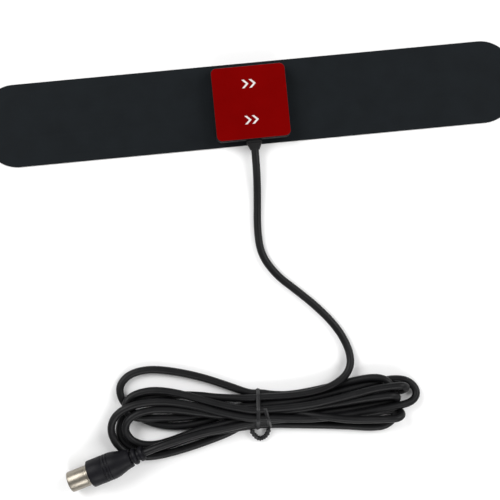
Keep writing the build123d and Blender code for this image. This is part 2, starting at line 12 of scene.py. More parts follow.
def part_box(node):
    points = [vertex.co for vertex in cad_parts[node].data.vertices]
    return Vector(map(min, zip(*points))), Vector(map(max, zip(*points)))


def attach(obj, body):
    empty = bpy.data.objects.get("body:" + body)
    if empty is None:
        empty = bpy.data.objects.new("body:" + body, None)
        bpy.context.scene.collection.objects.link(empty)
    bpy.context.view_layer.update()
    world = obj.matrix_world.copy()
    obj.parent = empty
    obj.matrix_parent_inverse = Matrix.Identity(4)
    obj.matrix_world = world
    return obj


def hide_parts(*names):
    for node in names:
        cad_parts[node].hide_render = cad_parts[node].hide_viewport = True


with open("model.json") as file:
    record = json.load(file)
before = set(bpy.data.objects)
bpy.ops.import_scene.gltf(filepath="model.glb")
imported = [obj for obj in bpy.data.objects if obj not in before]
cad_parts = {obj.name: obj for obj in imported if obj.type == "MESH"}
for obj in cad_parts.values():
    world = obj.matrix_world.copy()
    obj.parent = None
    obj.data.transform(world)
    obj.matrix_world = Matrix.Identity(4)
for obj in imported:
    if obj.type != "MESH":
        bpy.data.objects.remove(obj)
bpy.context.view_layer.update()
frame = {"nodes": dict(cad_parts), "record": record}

MM = 0.001
BODY = "antenna"

# ---------------------------------------------------------------- sizes, in millimetres

FILM_SEGMENTS = 40
FILM_CORNER = 15.5
FILM_EDGE_ROUND = 0.08
FLAT_NORMAL = 0.98
ARM_START_X = 5.0
ARM_SHOULDER_X = 22.0
ARM_END_X = 116.0
ARM_HALF_WIDTH = 14.5
ARM_FEED_HALF = 6.0
ARM_CORNER = 11.0
ARM_CORNER_STEPS = 12
ARM_RELIEF = 0.035
ARM_RAMP = 0.9
SLOT_CENTRE_X = 66.0
SLOT_Y = 5.2
SLOT_LENGTH = 76.0
SLOT_WIDTH = 1.4

COVER_CORNER = 2.8
COVER_WALL = 1.2
COVER_CEILING = 1.2
COVER_PARTING = 0.22
COVER_DRAFT = 0.1
COVER_ROUND = 0.7
COVER_ROUND_STEPS = 5
COVER_SLOT_WIDTH = 5.5
COVER_SLOT_TOP = 7.1
COVER_SLOT_EXTRA = 1.0

PAD_CORNER = 2.3
FOAM_BULGE = 0.12
FOAM_CELL = 0.04
FOAM_RINGS = 7
FOAM_SPACING = 0.6
LINER_CURL = 0.55
LINER_CURL_SIZE = 5.0
LINER_SPACING = 0.8
LINER_SCALES = (0.2, 0.5, 0.7, 0.82, 0.9, 0.96)
MARK_LENGTH = 6.6
MARK_WIDTH = 3.8
MARK_STROKE = 0.95
MARK_HEIGHT = 0.02
MARK_SINK = 0.01
MARK_GAP = 0.1
MARK_SLANT = 1.2
MARK_PLACES = [(-0.1, 8.4), (-0.3, -7.9)]

RELIEF_CORNER = 1.2
RELIEF_WIDTH = 7.0
RELIEF_NECK_WIDTH = 5.4
RELIEF_FLANGE_WIDTH = 9.0
RELIEF_FLARE_HALF_X = 3.1
RELIEF_FLARE_HALF_Z = 2.35
RELIEF_TIP_RADIUS = 2.2
RELIEF_STEPS = 6
RELIEF_BOTTOM_Z = 0.85
RELIEF_TOP_Z = 7.05

CORD_DIAMETER = 3.5
CORD_Z = 4.65
FLOOR_Z = CORD_DIAMETER / 2
TIE_GAP = 0.5

# The lead from the box to the hank: the route of the cable_run node.
RUN = [
    (0, -17.2, 4.65),
    (0, -29, 4.65),
    (-0.9, -43, 2.1),
    (-2.4, -57, 1.8),
    (-1.9, -68.8, 1.8),
    (4.2, -78.9, 1.8),
    (12.4, -86.4, 1.8),
    (21.0, -94.8, 1.8),
    (28.9, -104.4, 1.8),
    (33.4, -113.8, 2.6),
]

# The hank. Each stretch is (x, y, layer): layer 0 lies on the floor, 1 lies on one strand, 2 on two.
# A held point is in a fold that stands on edge.
HELD = True
INTO_HANK = [
    (34.4, -121.5, 1.4), (31.6, -127.2, 2), (25.2, -131.2, 2), (17.1, -133.3, 1.9), (6.6, -134.1, 1.6),
]
LEFT_MIDDLE = [
    (-26.8, -131.7, 1), (-38.0, -129.3, 0), (-50.2, -128.3, 0), (-61.4, -128.4, 0.2), (-67.0, -129.8, 0.2),
    (-70.3, -133.2, 0.2), (-72.4, -137.6, 0.1), (-73.9, -142.4, 0), (-72.6, -147.6, 0), (-67.4, -151.8, 0),
    (-57.7, -152.5, 0), (-45.3, -149.3, 0), (-35.3, -147.1, 0), (-23.3, -146.1, 0),
]
RIGHT_WIDE = [
    (3.8, -147.1, 0), (17.4, -148.7, 0), (31.0, -150.5, 0), (39.8, -152.1, 0), (46.6, -152.2, 0),
    (50.9, -149.6, 0), (52.4, -145.4, 0), (52.8, -139.7, 0), (51.4, -133.9, 0.4), (47.8, -130.4, 1),
    (41.8, -129.7, 1), (32.8, -130.9, 0.6), (18.0, -133.1, 0), (5.0, -134.0, 0), (-2.8, -133.0, 0),
]
LEFT_TOP = [
    (-22.3, -126.9, 0), (-34.0, -121.7, 0), (-46.2, -117.8, 0), (-57.6, -115.6, 0), (-66.5, -117.0, 0),
    (-71.3, -121.4, 0), (-71.7, -126.4, 0), (-69.4, -131.4, 0), (-65.0, -136.5, 0), (-57.2, -141.0, 0),
    (-46.3, -143.3, 0), (-33.6, -142.0, 0), (-22.3, -138.5, 0),
]
RIGHT_SECOND = [
    (2.7, -138.7, 0), (17.7, -139.9, 0), (32.8, -139.6, 0), (43.9, -138.1, 0),
    (52.7, -137.0, 0, HELD), (55.7, -137.0, 0, HELD), (57.8, -136.1, 0.6, HELD),
    (57.8, -134.9, 1.5, HELD), (55.7, -134.0, 2.1, HELD), (52.7, -134.0, 2.1, HELD),
    (43.7, -134.2, 1.9), (27.6, -136.9, 1.2), (11.6, -139.0, 1.5),
]
LEFT_SECOND = [
    (-25.0, -135.1, 2), (-35.0, -131.6, 1.4), (-45.8, -127.3, 0.6), (-56.2, -125.0, 0),
    (-64.0, -125.8, 0.4), (-68.6, -128.2, 1), (-70.0, -131.8, 1.2), (-68.6, -135.3, 1.2),
    (-64.0, -137.3, 0.9), (-56.0, -138.0, 0.3), (-44.8, -139.2, 0.2), (-33.4, -138.9, 0.7),
    (-22.4, -137.1, 1),
]
RIGHT_OUTER = [
    (4.7, -136.6, 1), (17.7, -135.2, 0.8), (32.6, -133.2, 0.5), (44.9, -131.5, 0.2), (53.0, -130.8, 0),
    (58.8, -132.1, 0), (62.4, -135.7, 0), (62.6, -139.7, 0), (59.2, -142.4, 0.3), (52.3, -143.2, 1),
    (41.7, -144.0, 1), (27.7, -144.9, 1), (10.5, -144.3, 1.6),
]
LEFT_OUTER = [
    (-25.3, -138.8, 2), (-36.4, -134.4, 1.6), (-48.4, -130.9, 1.2), (-60.3, -129.9, 1.4), (-69.3, -131.3, 2),
    (-75.2, -135.1, 0.8), (-77.5, -141.1, 0), (-75.4, -147.9, 0), (-69.7, -153.5, 0), (-60.3, -155.2, 0),
    (-48.3, -153.8, 0), (-35.3, -151.0, 0), (-22.3, -147.5, 0),
]
RIGHT_LOW = [
    (4.7, -143.7, 0), (19.7, -144.4, 0), (33.0, -145.3, 0), (42.0, -145.6, 0),
    (49.7, -145.4, 0, HELD), (52.6, -145.4, 0, HELD), (54.7, -146.3, 0.6, HELD),
    (54.7, -147.7, 1.5, HELD), (52.6, -148.6, 2.1, HELD), (49.7, -148.6, 2.1, HELD),
    (42.0, -148.1, 2), (31.0, -147.2, 1.8), (19.6, -144.8, 1.6), (6.6, -142.1, 1),
]
LEFT_INNER = [
    (-23.4, -140.5, 1), (-35.4, -137.4, 1), (-48.4, -134.4, 1), (-57.3, -133.5, 1.2), (-65.4, -134.6, 1.9),
    (-70.2, -138.3, 1.4), (-70.6, -143.5, 1), (-66.6, -148.2, 1), (-58.6, -150.1, 1), (-48.9, -148.3, 1),
    (-37.4, -145.1, 1), (-24.4, -143.7, 1),
]
RIGHT_THIRD = [
    (3.5, -140.5, 1.6), (18.3, -139.9, 1.8), (30.0, -139.1, 1.9), (40.0, -138.3, 2),
    (48.3, -138.0, 2.1, HELD), (51.3, -138.0, 2.1, HELD), (53.4, -139.0, 1.5, HELD),
    (53.4, -140.4, 0.6, HELD), (51.3, -141.4, 0, HELD), (48.3, -141.4, 0, HELD),
    (41.5, -142.1, 0), (32.0, -142.9, 0), (20.7, -143.2, 0), (6.6, -144.0, 0.6),
]
TO_PLUG = [(-25.9, -145.1, 1.6), (-37.5, -146.0, 2)]
HANK = [
    INTO_HANK, LEFT_MIDDLE, RIGHT_WIDE, LEFT_TOP, RIGHT_SECOND, LEFT_SECOND,
    RIGHT_OUTER, LEFT_OUTER, RIGHT_LOW, LEFT_INNER, RIGHT_THIRD, TO_PLUG,
]
# Where each crossing passes under the tie, in the order that the lead makes them.
WAIST = [
    (-133.2, 1), (-145.8, 0), (-131.4, 0), (-135.0, 0), (-138.6, 2), (-136.8, 1),
    (-142.2, 2), (-142.2, 0), (-138.6, 0), (-140.4, 1), (-144.0, 1),
]
WAIST_X = (-12.9, -8.1)
LAYER_HEIGHT = 3.05

# How the strands settle on each other: the steps, and what each step does.
SETTLE_STEPS = 260
SETTLE_FALL_SHARE = 0.8
SETTLE_NEIGHBOURS = 9
SETTLE_FALL = 0.03
SETTLE_PULL = 0.03
SETTLE_SMOOTH = 0.10
SETTLE_EVEN = 0.3
SETTLE_PUSH = np.array([0.25, 0.25, 0.6])

# The twist tie.
TIE_HALF_WIDTH = 0.85
TIE_EDGE = 0.22
TIE_WIRE = 0.5
TIE_SECTION = [
    (-TIE_HALF_WIDTH, 0.0), (-TIE_HALF_WIDTH, TIE_EDGE), (-0.35, TIE_EDGE + 0.04), (-0.2, TIE_WIRE * 0.85),
    (0, TIE_WIRE), (0.2, TIE_WIRE * 0.85), (0.35, TIE_EDGE + 0.04), (TIE_HALF_WIDTH, TIE_EDGE),
    (TIE_HALF_WIDTH, 0.0), (0, -0.05),
]
TIE_STEPS = 120
TIE_FIRST_X = (-9.3, -11.0)
TIE_SECOND_X = (-8.6, -5.2)
TIE_SECOND_START_Y = -137.9
TIE_TAIL = [
    (-14.2, -147.4, 2.6), (-12.7, -150.3, 2.0), (-10.8, -152.0, 1.6), (-9.0, -151.9, 1.5),
    (-7.1, -150.6, 1.7), (-5.7, -147.6, 2.8),
]
TIE_TWISTS = 5.5
TIE_LIFT = 0.04
TIE_SECOND_END = 0.62
TIE_TAIL_WIDE = 1.2
TIE_TAIL_THIN = 0.85
TIE_TAIL_SEGMENTS = 16
TIE_PATH_STEPS = 14

# The plug.
PLUG_TIP = Vector((-97.7, -162.7, 4.75))
PLUG_AXIS = Vector((0.946998, 0.289526, 0.139173))
GRIP_RINGS = (17.6, 19.0, 20.4)
TAIL_BEND_STATION = 45.5
TAIL_MOUTH_STATION = 36.2
TAIL_END_STATION = 16.5

# ---------------------------------------------------------------- the camera, floor and light

CAMERA_AIM = (-6.53, -66.31, 0.0)
CAMERA_DISTANCE = 662.0
CAMERA_TURN = math.radians(-5.6)
CAMERA_TILT = math.radians(2.0)
SENSOR = 36.0
LENS = 104.4
FLOOR_HALF = 3.0

FILM_BLACK = (0.0051, 0.0070, 0.0087)
CORD_BLACK = (0.0042, 0.0042, 0.0047)
GRIP_BLACK = (0.0028, 0.0027, 0.0044)
RELIEF_GREY = (0.0085, 0.0085, 0.0088)
HOUSING_BLACK = (0.0058, 0.0057, 0.0062)
LINER_RED = (0.146, 0.0001, 0.0001)
NICKEL = (0.275, 0.25, 0.21)
TIE_BLACK = (0.008, 0.008, 0.009)
FOAM_BLACK = (0.020, 0.020, 0.022)
MARK_WHITE = (0.62, 0.58, 0.57)
FOIL = (0.78, 0.77, 0.75)
ADHESIVE = (0.45, 0.42, 0.34)
BOARD_GREEN = (0.02, 0.13, 0.05)
FERRITE = (0.05, 0.05, 0.055)
COPPER = (0.55, 0.20, 0.08)
CERAMIC = (0.32, 0.22, 0.13)
TIN = (0.72, 0.72, 0.70)
DIELECTRIC = (0.78, 0.77, 0.73)
DUST = (0.16, 0.16, 0.15)
FLOOR_DARK = (0.90, 0.90, 0.90)
FLOOR_LIGHT = (0.93, 0.93, 0.93)
WORN_FACTOR = 2.2
COAT_ROUGHNESS = 0.3


# ---------------------------------------------------------------- mesh building

def add_piece(name, mesh, material, nodes=(), body=BODY, sharp=35):
    """Links a mesh as a piece that rides on a body, takes a finish and stands for its CAD nodes."""
    mesh.materials.append(material)
    mesh.shade_smooth()
    mesh.set_sharp_from_angle(angle=math.radians(sharp))
    piece = bpy.data.objects.new(name, mesh)
    bpy.context.scene.collection.objects.link(piece)
    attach(piece, body)
    if nodes:
        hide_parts(*nodes)
    return piece


def mesh_from(name, points, faces):
    mesh = bpy.data.meshes.new(name)
    mesh.from_pydata([tuple(c * MM for c in p) for p in points], [], faces)
    work = bmesh.new()
    work.from_mesh(mesh)
    bmesh.ops.recalc_face_normals(work, faces=work.faces)
    work.to_mesh(mesh)
    work.free()
    mesh.update()
    return mesh


def ring_mesh(name, rings, closed=False):
    """Skins rings of equally many points, with a cap at each end unless the last ring meets the first."""
    count = len(rings[0])
    points = [p for ring in rings for p in ring]
    faces = []
    spans = len(rings) if closed else len(rings) - 1
    for i in range(spans):
        a, b = i * count, (i + 1) % len(rings) * count
        faces += [(a + j, a + (j + 1) % count, b + (j + 1) % count, b + j) for j in range(count)]
    if not closed:
        faces.append(tuple(range(count)))
        faces.append(tuple(range((len(rings) - 1) * count, len(rings) * count)))
    return mesh_from(name, points, faces)


def outline(half_x, half_y, corner, segments=10, centre=(0, 0)):
    """A rectangle with round corners, as points going round it."""
    corner = min(corner, half_x, half_y)
    points = []
    for quarter, (sx, sy) in enumerate([(1, 1), (-1, 1), (-1, -1), (1, -1)]):
        for i in range(segments + 1):
            angle = math.radians(90) * (quarter + i / segments)
            x = centre[0] + sx * (half_x - corner) + corner * math.cos(angle)
            y = centre[1] + sy * (half_y - corner) + corner * math.sin(angle)
            points.append((x, y))
    return points


def box_of(node):
    low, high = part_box(node)
    return [c / MM for c in low], [c / MM for c in high]


def lathe(profile, segments=96):
    """Rings round the plug's axis, one for each (station, radius) of the profile."""
    side = PLUG_AXIS.cross(Vector((0, 0, 1))).normalized()
    up = side.cross(PLUG_AXIS).normalized()
    rings = []
    for station, radius in profile:
        centre = plug_point(station)
        ring = []
        for i in range(segments):
            angle = 2 * math.pi * i / segments
            ring.append(centre + side * radius * math.cos(angle) + up * radius * math.sin(angle))
        rings.append(ring)
    return rings


# ---------------------------------------------------------------- materials

def node_tree(name):
    material = bpy.data.materials.new(name)
    material.use_nodes = True
    return material, material.node_tree.nodes, material.node_tree.links


def noise(nodes, links, vector, scale, detail=4.0, rough=0.55):
    texture = nodes.new("ShaderNodeTexNoise")
    texture.inputs["Scale"].default_value = scale
    texture.inputs["Detail"].default_value = detail
    texture.inputs["Roughness"].default_value = rough
    links.new(vector, texture.inputs["Vector"])
    return texture.outputs["Fac"]


def ramp(nodes, links, value, low, high, start=0.35, end=0.65):
    node = nodes.new("ShaderNodeValToRGB")
    node.color_ramp.elements[0].position = start
    node.color_ramp.elements[0].color = (*low, 1)
    node.color_ramp.elements[1].position = end
    node.color_ramp.elements[1].color = (*high, 1)
    links.new(value, node.inputs["Fac"])
    return node.outputs["Color"]


def remap(nodes, links, value, low, high, start=0.3, end=0.7):
    node = nodes.new("ShaderNodeMapRange")
    node.inputs["From Min"].default_value = start
    node.inputs["From Max"].default_value = end
    node.inputs["To Min"].default_value = low
    node.inputs["To Max"].default_value = high
    links.new(value, node.inputs["Value"])
    return node.outputs["Result"]


def mix(nodes, links, factor, a, b):
    node = nodes.new("ShaderNodeMix")
    node.data_type = "RGBA"
    links.new(factor, node.inputs["Factor"])
    links.new(a, node.inputs["A"])
    links.new(b, node.inputs["B"])
    return node.outputs["Result"]


def shade(colour, factor):
    return tuple(min(1.0, c * factor) for c in colour)


def finish(
    name, colour, spread=0.25, patch=60, rough=(0.45, 0.6), grain=2500, bump=0.15, depth=0.00005,
    specular=0.5, metallic=0.0, wear=0.5, specks=0.0, coat=0.0,
):
    """A procedural finish: broad colour patches, fine grain in bump and gloss, edge wear and dust specks."""
    material, nodes, links = node_tree(name)
    shader = nodes["Principled BSDF"]
    vector = nodes.new("ShaderNodeTexCoord").outputs["Object"]
    broad = noise(nodes, links, vector, patch, 5.0)
    fine = noise(nodes, links, vector, grain, 3.0, 0.6)
    base = ramp(nodes, links, broad, shade(colour, 1 - spread), shade(colour, 1 + spread))
    edge = nodes.new("ShaderNodeNewGeometry").outputs["Pointiness"]
    worn = remap(nodes, links, edge, 0.0, wear, 0.52, 0.62)
    light = nodes.new("ShaderNodeRGB")
    light.outputs[0].default_value = (*shade(colour, WORN_FACTOR), 1)
    base = mix(nodes, links, worn, base, light.outputs[0])
    if specks:
        dust = noise(nodes, links, vector, grain * 0.7, 2.0, 0.8)
        amount = remap(nodes, links, dust, 0.0, specks, 0.68, 0.74)
        pale = nodes.new("ShaderNodeRGB")
        pale.outputs[0].default_value = (*DUST, 1)
        base = mix(nodes, links, amount, base, pale.outputs[0])
    links.new(base, shader.inputs["Base Color"])
    both = nodes.new("ShaderNodeMath")
    both.operation = "ADD"
    links.new(broad, both.inputs[0])
    links.new(fine, both.inputs[1])
    links.new(remap(nodes, links, both.outputs[0], rough[0], rough[1], 0.7, 1.3), shader.inputs["Roughness"])
    bumps = nodes.new("ShaderNodeBump")
    bumps.inputs["Strength"].default_value = bump
    bumps.inputs["Distance"].default_value = depth
    links.new(fine, bumps.inputs["Height"])
    links.new(bumps.outputs["Normal"], shader.inputs["Normal"])
    shader.inputs["Specular IOR Level"].default_value = specular
    shader.inputs["Metallic"].default_value = metallic
    shader.inputs["Coat Weight"].default_value = coat
    shader.inputs["Coat Roughness"].default_value = COAT_ROUGHNESS
    return material


MATERIALS = {
    "film_black": finish(
        "film_black", FILM_BLACK, 0.10, 90, (0.5, 0.62), 3000, 0.25, specular=0.10, specks=0.05),
    "foil": finish("foil", FOIL, 0.06, 80, (0.2, 0.35), 900, 0.3, metallic=1.0),
    "adhesive": finish("adhesive", ADHESIVE, 0.12, 120, (0.25, 0.45), 1500, 0.2),
    "housing_black": finish(
        "housing_black", HOUSING_BLACK, 0.12, 120, (0.5, 0.65), 4500, 0.5, specular=0.13),
    "foam": finish("foam", FOAM_BLACK, 0.3, 900, (0.85, 0.98), 3500, 1.0, 0.0002, specular=0.2),
    "liner_red": finish(
        "liner_red", LINER_RED, 0.05, 70, (0.32, 0.42), 1400, 0.12, specular=0.02, wear=0.25),
    "mark_white": finish("mark_white", MARK_WHITE, 0.08, 300, (0.45, 0.6), 3000, 0.2, wear=0.0),
    "board_green": finish("board_green", BOARD_GREEN, 0.2, 250, (0.3, 0.45), 2600, 0.3, coat=0.3),
    "ferrite": finish("ferrite", FERRITE, 0.25, 500, (0.55, 0.75), 4000, 0.7),
    "copper_wire": finish("copper_wire", COPPER, 0.15, 400, (0.2, 0.35), 2500, 0.2, metallic=0.9),
    "chip_ceramic": finish("chip_ceramic", CERAMIC, 0.12, 700, (0.4, 0.55), 4000, 0.3),
    "tin_plate": finish("tin_plate", TIN, 0.12, 300, (0.28, 0.45), 2500, 0.3, metallic=1.0),
    "dielectric_white": finish("dielectric_white", DIELECTRIC, 0.05, 300, (0.4, 0.5), 2500, 0.2),
    "cable_black": finish(
        "cable_black", CORD_BLACK, 0.22, 110, (0.36, 0.52), 1800, 0.3, specular=0.20, specks=0.06),
    "relief_grey": finish("relief_grey", RELIEF_GREY, 0.12, 300, (0.5, 0.62), 3500, 0.35, specular=0.14),
    "tie_black": finish("tie_black", TIE_BLACK, 0.15, 400, (0.3, 0.45), 2500, 0.2, specular=0.35),
    "grip_black": finish("grip_black", GRIP_BLACK, 0.12, 160, (0.42, 0.55), 3500, 0.35, specular=0.17),
    "nickel": finish("nickel", NICKEL, 0.10, 250, (0.30, 0.42), 1500, 0.25, metallic=1.0),
}


def paint_nodes():
    """Gives every CAD node the finish of its own material slot."""
    for part in frame["record"]["subparts"]:
        mesh = frame["nodes"][part["node"]].data
        mesh.materials.clear()
        mesh.materials.append(MATERIALS[part["material_slot"]])


# ---------------------------------------------------------------- the blade

def arm_outline(side, grow=0.0):
    """A foil arm's outline under the film: shoulders near the box and round corners outside."""
    end, wide, corner = ARM_END_X + grow, ARM_HALF_WIDTH + grow, ARM_CORNER + grow
    points = [(ARM_START_X - grow, -ARM_FEED_HALF - grow), (ARM_SHOULDER_X - grow / 2, -wide)]
    for quarter, turn in ((-1, -90), (1, 0)):
        for i in range(ARM_CORNER_STEPS + 1):
            angle = math.radians(turn + 90 * i / ARM_CORNER_STEPS)
            points.append((end - corner + corner * math.cos(angle),
                           quarter * (wide - corner) + corner * math.sin(angle)))
    points += [(ARM_SHOULDER_X - grow / 2, wide), (ARM_START_X - grow, ARM_FEED_HALF + grow)]
    return [(side * x, y) for x, y in points]


def slot_outline(side, row, grow=0.0):
    centre = (side * SLOT_CENTRE_X, row * SLOT_Y)
    half = SLOT_WIDTH / 2 + grow
    return outline(SLOT_LENGTH / 2 + grow, half, half, 6, centre)


def film(name, node, slot, top_up):
    """An outer film with a rounded rim. Its outer face rises a little where it crosses the foil arms."""
    low, high = box_of(node)
    half_x, half_y = (high[0] - low[0]) / 2, (high[1] - low[1]) / 2
    outer, inner = (high[2], low[2]) if top_up else (low[2], high[2])
    sign = 1 if top_up else -1
    rim = FILM_EDGE_ROUND
    profile = [
        (rim * 2, inner), (0, inner + sign * rim), (0, outer - sign * rim * 1.5),
        (rim, outer - sign * rim * 0.4), (rim * 3, outer),
    ]
    points, faces = [], []
    for inset, z in profile:
        ring = outline(half_x - inset, half_y - inset, FILM_CORNER - inset, FILM_SEGMENTS)
        points += [(x, y, z) for x, y in ring]
    count = len(ring)
    for i in range(len(profile) - 1):
        a, b = i * count, (i + 1) * count
        faces += [(a + j, a + (j + 1) % count, b + (j + 1) % count, b + j) for j in range(count)]
    faces.append(tuple(range(count)))

    loops = [([(x, y) for x, y, z in points[-count:]], 0.0)]
    for side in (-1, 1):
        loops.append((arm_outline(side, ARM_RAMP / 2), 0.0))
        loops.append((arm_outline(side, -ARM_RAMP / 2), ARM_RELIEF))
        for row in (-1, 1):
            loops.append((slot_outline(side, row, ARM_RAMP / 2), ARM_RELIEF))
            loops.append((slot_outline(side, row, -ARM_RAMP / 4), ARM_RELIEF * 0.4))
    flat, heights, edges = [], [], []
    for ring, height in loops:
        start = len(flat)
        flat += [Vector(p) for p in ring]
        heights += [height] * len(ring)
        edges += [(start + j, start + (j + 1) % len(ring)) for j in range(len(ring))]
    corners, _, triangles, origins, _, _ = delaunay_2d_cdt(flat, edges, [], 1, 1e-7)
    start = len(points)
    for corner, origin in zip(corners, origins):
        points.append((corner.x, corner.y, outer + heights[origin[0]]))
    faces += [tuple(start + i for i in triangle) for triangle in triangles]
    mesh = mesh_from(name, points, faces)
    work = bmesh.new()
    work.from_mesh(mesh)
    bmesh.ops.remove_doubles(work, verts=work.verts, dist=1e-7)
    bmesh.ops.recalc_face_normals(work, faces=work.faces)
    work.to_mesh(mesh)
    work.free()
    piece = add_piece(name, mesh, MATERIALS[slot], [node], sharp=50)
    for face in mesh.polygons:
        face.use_smooth = abs(face.normal.z) < FLAT_NORMAL
    return piece


# ---------------------------------------------------------------- the box and its pad

def layer(half_x, half_y, corner, inset, z, segments=10):
    ring = outline(half_x - inset, half_y - inset, max(corner - inset, 0.3), segments)
    return [(x, y, z) for x, y in ring]


def housing_cover():
    """The cover as a hollow shell, with a parting gap, a rolled top edge and a slot for the strain relief."""
    low, high = box_of("housing_cover")
    half_x, half_y = (high[0] - low[0]) / 2, (high[1] - low[1]) / 2
    ceiling = high[2] - COVER_CEILING
    heights = [
        (COVER_WALL, ceiling), (COVER_WALL, low[2]), (COVER_PARTING, low[2]), (COVER_PARTING, low[2] + 0.12),
        (0.02, low[2] + 0.3), (0.0, low[2] + 0.45), (COVER_DRAFT, high[2] - COVER_ROUND),
    ]
    for step in range(1, COVER_ROUND_STEPS + 1):
        angle = math.radians(90) * step / COVER_ROUND_STEPS
        inset = COVER_DRAFT + COVER_ROUND * (1 - math.cos(angle))
        heights.append((inset, high[2] - COVER_ROUND * (1 - math.sin(angle))))
    rings = [layer(half_x, half_y, COVER_CORNER, inset, z) for inset, z in heights]
    mesh = ring_mesh("cover_shell", rings)
    piece = add_piece("cover_shell", mesh, MATERIALS["housing_black"], ["housing_cover"])
    slot_bottom = low[2] - COVER_SLOT_EXTRA
    cut_box(
        piece, (0, low[1] + COVER_WALL / 2, (slot_bottom + COVER_SLOT_TOP) / 2),
        (COVER_SLOT_WIDTH, COVER_WALL * 2, COVER_SLOT_TOP - slot_bottom))
    return piece


def cut_box(piece, centre, size):
    """Takes a block out of a piece, and leaves no modifier behind."""
    x, y, z = (s / 2 for s in size)
    corners = [(centre[0] + a * x, centre[1] + b * y) for a, b in [(-1, -1), (1, -1), (1, 1), (-1, 1)]]
    rings = [[(cx, cy, centre[2] + s * z) for cx, cy in corners] for s in (-1, 1)]
    tool = bpy.data.objects.new("cutter", ring_mesh("cutter", rings))
    bpy.context.scene.collection.objects.link(tool)
    cut = piece.modifiers.new("cut", "BOOLEAN")
    cut.operation = "DIFFERENCE"
    cut.solver = "EXACT"
    cut.object = tool
    bpy.context.view_layer.update()
    graph = bpy.context.evaluated_depsgraph_get()
    mesh = bpy.data.meshes.new_from_object(piece.evaluated_get(graph))
    piece.modifiers.clear()
    piece.data = mesh
    mesh.set_sharp_from_angle(angle=math.radians(35))
    bpy.data.objects.remove(tool)


def foam_tape():
    """The foam tape: sides that belly out a little, with open cells along them."""
    low, high = box_of("foam_pad")
    half_x, half_y = (high[0] - low[0]) / 2, (high[1] - low[1]) / 2
    rings = []
    for i in range(FOAM_RINGS):
        t = i / (FOAM_RINGS - 1)
        belly = FOAM_BULGE * (1 - (2 * t - 1) ** 2)
        z = low[2] + (high[2] - low[2]) * t
        ring = []
        for k, (x, y) in enumerate(dense(outline(half_x, half_y, PAD_CORNER, 8), FOAM_SPACING)):
            cell = FOAM_CELL * math.sin(k * 1.7 + i * 2.1) * math.sin(k * 0.63 + i)
            scale = (belly - FOAM_BULGE + cell) / half_x + 1
            ring.append((x * scale, y * scale, z))
        rings.append(ring)
    mesh = ring_mesh("foam_tape", rings)
    return add_piece("foam_tape", mesh, MATERIALS["foam"], ["foam_pad"], sharp=60)


def dense(points, spacing):
    """The same outline with points at most spacing apart."""
    result = []
    for i, a in enumerate(points):
        b = points[(i + 1) % len(points)]
        gap = math.dist(a, b)
        count = max(1, int(gap / spacing))
        for k in range(count):
            result.append((a[0] + (b[0] - a[0]) * k / count, a[1] + (b[1] - a[1]) * k / count))
    return result


def curl(x, y, half_x, half_y):
    """How far the liner's loose corner stands off the pad."""
    reach = (half_x - x) + (half_y + y)
    return LINER_CURL * max(0.0, 1 - reach / LINER_CURL_SIZE) ** 2


def release_liner():
    low, high = box_of("release_liner")
    half_x, half_y = (high[0] - low[0]) / 2, (high[1] - low[1]) / 2
    shape = dense(outline(half_x, half_y, PAD_CORNER, 8), LINER_SPACING)
    thick = high[2] - low[2]
    under = [(scale, 0.0) for scale in (*LINER_SCALES, 1.0)]
    over = [(1.0, thick * 0.7)] + [(scale, thick) for scale in (0.998, *reversed(LINER_SCALES))]
    rings = []
    for scale, rise in under + over:
        ring = []
        for x, y in shape:
            x, y = x * scale, y * scale
            ring.append((x, y, low[2] + rise + curl(x, y, half_x, half_y)))
        rings.append(ring)
    mesh = ring_mesh("liner_sheet", rings)
    return add_piece(
        "liner_sheet", mesh, MATERIALS["liner_red"], ["release_liner"], body="liner")


def liner_marks():
    """Two plain printed chevron pairs, which show the way to peel."""
    top = box_of("release_liner")[1][2]
    half, slant, reach = MARK_WIDTH / 2, MARK_STROKE * MARK_SLANT, MARK_LENGTH / 4 - MARK_GAP
    shape = [
        (-reach, -half), (-reach + slant, -half), (reach, 0),
        (-reach + slant, half), (-reach, half), (reach - slant, 0),
    ]
    n = len(shape)
    points, faces = [], []
    for cx, cy in MARK_PLACES:
        for shift in (-MARK_LENGTH / 4, MARK_LENGTH / 4):
            start = len(points)
            for z in (top - MARK_SINK, top + MARK_HEIGHT):
                points += [(cx + shift + x, cy + y, z) for x, y in shape]
            for i in range(n):
                j = (i + 1) % n
                faces.append((start + i, start + j, start + n + j, start + n + i))
            faces.append(tuple(start + n + i for i in range(n)))
            faces.append(tuple(start + i for i in reversed(range(n))))
    mesh = mesh_from("liner_marks", points, faces)
    return add_piece("liner_marks", mesh, MATERIALS["mark_white"], body="liner")


# ---------------------------------------------------------------- the strain relief

def section(y, width, low_z, high_z, corner, segments=8):
    """A rounded cross-section of the strain relief at y."""
    centre_z = (low_z + high_z) / 2
    ring = outline(width / 2, (high_z - low_z) / 2, corner, segments)
    return [(x, y, z + centre_z) for x, z in ring]


